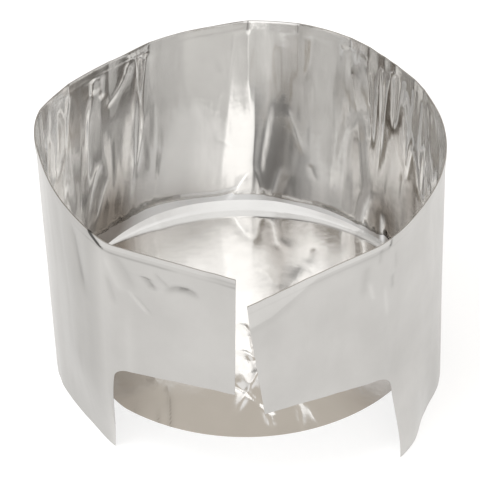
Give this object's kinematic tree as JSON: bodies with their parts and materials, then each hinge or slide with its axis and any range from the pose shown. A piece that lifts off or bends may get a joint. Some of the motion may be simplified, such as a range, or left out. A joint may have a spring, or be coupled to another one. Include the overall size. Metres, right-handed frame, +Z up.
{
  "type": "stove windscreen",
  "caption": "Creased foil windscreen standing as a ring around a camping stove, with a hemmed rim, front flaps above a fuel-line notch and a lift-out foil reflector.",
  "frame": {"origin": "on the ground, below the middle of the standing screen's box", "axes": "+Z up, -Y towards the front with the flaps and the notch, +X to the right seen from the front"},
  "size_m": [0.2218, 0.244, 0.16],
  "materials": {
    "screen_foil": "thin rolled foil, satin outside and bright inside, softly creased",
    "reflector_foil": "thin rolled foil, bright, softly creased"
  },
  "bodies": {
    "wall_panel_left_1": {"wall_panel_left_1": "screen_foil"},
    "wall_panel_left_2": {"wall_panel_left_2": "screen_foil"},
    "wall_panel_left_3": {"wall_panel_left_3": "screen_foil"},
    "wall_panel_left_4": {"wall_panel_left_4": "screen_foil"},
    "wall_panel_left_5": {"wall_panel_left_5": "screen_foil"},
    "wall_panel_right_1": {"wall_panel_right_1": "screen_foil"},
    "wall_panel_right_2": {"wall_panel_right_2": "screen_foil"},
    "wall_panel_right_3": {"wall_panel_right_3": "screen_foil"},
    "wall_panel_right_4": {"wall_panel_right_4": "screen_foil"},
    "wall_panel_right_5": {"wall_panel_right_5": "screen_foil"},
    "left_flap": {"left_flap": "screen_foil"},
    "right_flap": {"right_flap": "screen_foil"},
    "reflector": {"reflector_plate": "reflector_foil", "reflector_rim": "reflector_foil"}
  },
  "joints": [
    {"name": "left_crease_1", "type": "hinge", "parent": "wall_panel_left_1", "child": "wall_panel_left_2", "pos_m": [-0.05148, 0.10896, 0.08], "axis": [0, 0, 1], "range_deg": [-27.5, 0]},
    {"name": "left_crease_2", "type": "hinge", "parent": "wall_panel_left_2", "child": "wall_panel_left_3", "pos_m": [-0.09133, 0.07402, 0.08], "axis": [0, 0, 1], "range_deg": [-27.5, 0]},
    {"name": "left_crease_3", "type": "hinge", "parent": "wall_panel_left_3", "child": "wall_panel_left_4", "pos_m": [-0.11054, 0.02462, 0.08], "axis": [0, 0, 1], "range_deg": [-27.5, 0]},
    {"name": "left_crease_4", "type": "hinge", "parent": "wall_panel_left_4", "child": "wall_panel_left_5", "pos_m": [-0.10477, -0.02806, 0.08], "axis": [0, 0, 1], "range_deg": [-27.5, 0]},
    {"name": "left_flap_crease", "type": "hinge", "parent": "wall_panel_left_5", "child": "left_flap", "pos_m": [-0.07532, -0.07213, 0.08], "axis": [0, 0, 1], "range_deg": [-110, 15]},
    {"name": "back_crease", "type": "hinge", "parent": "wall_panel_left_1", "child": "wall_panel_right_1", "pos_m": [0, 0.12156, 0.08], "axis": [0, 0, -1], "range_deg": [-27.5, 0]},
    {"name": "right_crease_1", "type": "hinge", "parent": "wall_panel_right_1", "child": "wall_panel_right_2", "pos_m": [0.05148, 0.10896, 0.08], "axis": [0, 0, -1], "range_deg": [-27.5, 0]},
    {"name": "right_crease_2", "type": "hinge", "parent": "wall_panel_right_2", "child": "wall_panel_right_3", "pos_m": [0.09133, 0.07402, 0.08], "axis": [0, 0, -1], "range_deg": [-27.5, 0]},
    {"name": "right_crease_3", "type": "hinge", "parent": "wall_panel_right_3", "child": "wall_panel_right_4", "pos_m": [0.11054, 0.02462, 0.08], "axis": [0, 0, -1], "range_deg": [-27.5, 0]},
    {"name": "right_crease_4", "type": "hinge", "parent": "wall_panel_right_4", "child": "wall_panel_right_5", "pos_m": [0.10477, -0.02806, 0.08], "axis": [0, 0, -1], "range_deg": [-27.5, 0]},
    {"name": "right_flap_crease", "type": "hinge", "parent": "wall_panel_right_5", "child": "right_flap", "pos_m": [0.07532, -0.07213, 0.08], "axis": [0, 0, -1], "range_deg": [-110, 5]},
    {"name": "reflector_lift", "type": "slide", "parent": "wall_panel_left_1", "child": "reflector", "axis": [0, 0, 1], "range_m": [-0.019, 0.17]}
  ]
}
